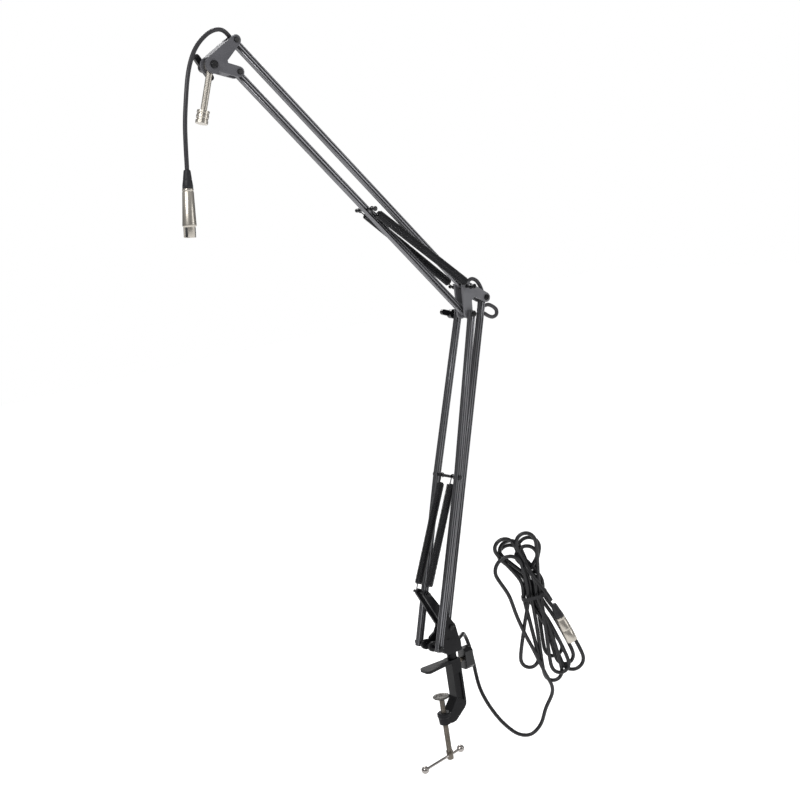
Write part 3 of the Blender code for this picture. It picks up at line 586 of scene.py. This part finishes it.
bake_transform(tail)
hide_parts("tail_cable", "cable_hank")

# a cable tie around the bundle
STEPS = 32
BAND = [(0, -2.5), (0.5, -2.7), (1.1, -2.2), (1.1, 2.2), (0.5, 2.7), (0, 2.5)]        # outwards and up


def squarer(v):
    """A sine or cosine that makes an outline between a circle and a square."""
    return math.copysign(abs(v) ** 0.75, v)


bm = bmesh.new()
rows = []
middle = hank(128, 1, 77) * MM
for i in range(STEPS):
    a = 2 * math.pi * i / STEPS
    across, depth = squarer(math.cos(a)), squarer(math.sin(a))
    p = hank(128 + 17.5 * across, 1 + 14.5 * depth, 77 + 3.0 * math.cos(a)) * MM
    way = p - middle
    way.z = 0
    way.normalize()
    rows.append([bm.verts.new(p + (way * u + Vector((0, 0, 1)) * v) * MM) for u, v in BAND])
for i in range(STEPS):
    a, b = rows[i], rows[(i + 1) % STEPS]
    for k in range(len(BAND)):
        n = (k + 1) % len(BAND)
        bm.faces.new((a[k], a[n], b[n], b[k]))
bmesh.ops.recalc_face_normals(bm, faces=bm.faces)
me = bpy.data.meshes.new("cable_tie")
bm.to_mesh(me)
bm.free()
tie = add("cable_tie", me, RUBBER, "clamp")

# male XLR, in heights from the boot's top; its boot is 2 mm shorter than the female's
MX0, MX1 = hank(149.5, 23.5, 71.5) * MM, hank(170.5, 23.5, 10) * MM
male = frame_along(MX0, MX1)
M_LEN = (MX1 - MX0).length / MM
male_shell = [(0, 25.8), (6.5, 25.8), (6.8, 26.2), (6.8, 28.4), (6.5, 28.7), (6.6, 29.6), (6.9, 30), (7.9, 44),
              (8.0, 45), (7.6, 45.4), (7.6, 46.2), (8.0, 46.6), (8.05, M_LEN - 1), (7.7, M_LEN), (7.15, M_LEN),
              (7.1, M_LEN - 0.6), (7.1, 49), (0, 49)]
male_pieces = [
    lathe("male_boot_ribbed", [(r, z * 25.6 / 27.6) for r, z in BOOT], male, RUBBER, "clamp", "xlr_male_boot"),
    lathe("male_shell_turned", male_shell, male, NICKEL, "clamp", "xlr_male_shell", 48)]

# ---- stage and light --------------------------------------------------------------------------
bm = bmesh.new()
bmesh.ops.create_grid(bm, x_segments=2, y_segments=2, size=8)
me = bpy.data.meshes.new("floor")
bm.to_mesh(me)
bm.free()
floor = bpy.data.objects.new("floor", me)
floor.location = (0, 0, -0.55)
bpy.context.collection.objects.link(floor)
fm = bpy.data.materials.new("floor")
fm.use_nodes = True
fb = fm.node_tree.nodes["Principled BSDF"]
fb.inputs["Base Color"].default_value = (0.95, 0.95, 0.95, 1)
fb.inputs["Roughness"].default_value = 0.95
fb.inputs["Specular IOR Level"].default_value = 0.0
fb.inputs["Emission Color"].default_value = (1, 1, 1, 1)
fb.inputs["Emission Strength"].default_value = 0.45
me.materials.append(fm)


def lamp(name, place, aim, size, power):
    data = bpy.data.lights.new(name, "AREA")
    data.size, data.energy, data.shape = size, power, "SQUARE"
    ob = bpy.data.objects.new(name, data)
    ob.location = place
    ob.rotation_euler = (Vector(aim) - Vector(place)).to_track_quat("-Z", "Y").to_euler()
    bpy.context.collection.objects.link(ob)


mid = (0.0, 0.0, 0.45)
lamp("key", (-2.0, -1.0, 2.2), mid, 1.0, 34)
lamp("fill", (1.6, -2.2, 1.0), mid, 0.9, 9)
lamp("rim", (0.9, 1.8, 1.8), mid, 1.0, 26)

# the sky: plain white to look at, and a dimmer, graded studio for the light that falls on the object
world = bpy.data.worlds.new("studio")
world.use_nodes = True
wt = world.node_tree
seen = wt.nodes["Background"]
seen.inputs["Color"].default_value = (1, 1, 1, 1)
seen.inputs["Strength"].default_value = 1.0
light = wt.nodes.new("ShaderNodeBackground")
light.inputs["Strength"].default_value = 1.0
where = wt.nodes.new("ShaderNodeTexCoord")
split = wt.nodes.new("ShaderNodeSeparateXYZ")
wt.links.new(where.outputs["Generated"], split.inputs[0])
grade = wt.nodes.new("ShaderNodeValToRGB")
grade.color_ramp.elements[0].position, grade.color_ramp.elements[0].color = 0.0, (0.16, 0.16, 0.165, 1)
grade.color_ramp.elements[1].position, grade.color_ramp.elements[1].color = 0.9, (0.75, 0.75, 0.75, 1)
wt.links.new(split.outputs["Z"], grade.inputs["Fac"])
wt.links.new(grade.outputs["Color"], light.inputs["Color"])
ray = wt.nodes.new("ShaderNodeLightPath")
mixed = wt.nodes.new("ShaderNodeMixShader")
wt.links.new(ray.outputs["Is Camera Ray"], mixed.inputs[0])
wt.links.new(light.outputs[0], mixed.inputs[1])
wt.links.new(seen.outputs[0], mixed.inputs[2])
wt.links.new(mixed.outputs[0], wt.nodes["World Output"].inputs["Surface"])
bpy.context.scene.world = world
bpy.context.scene.view_settings.view_transform = "Standard"
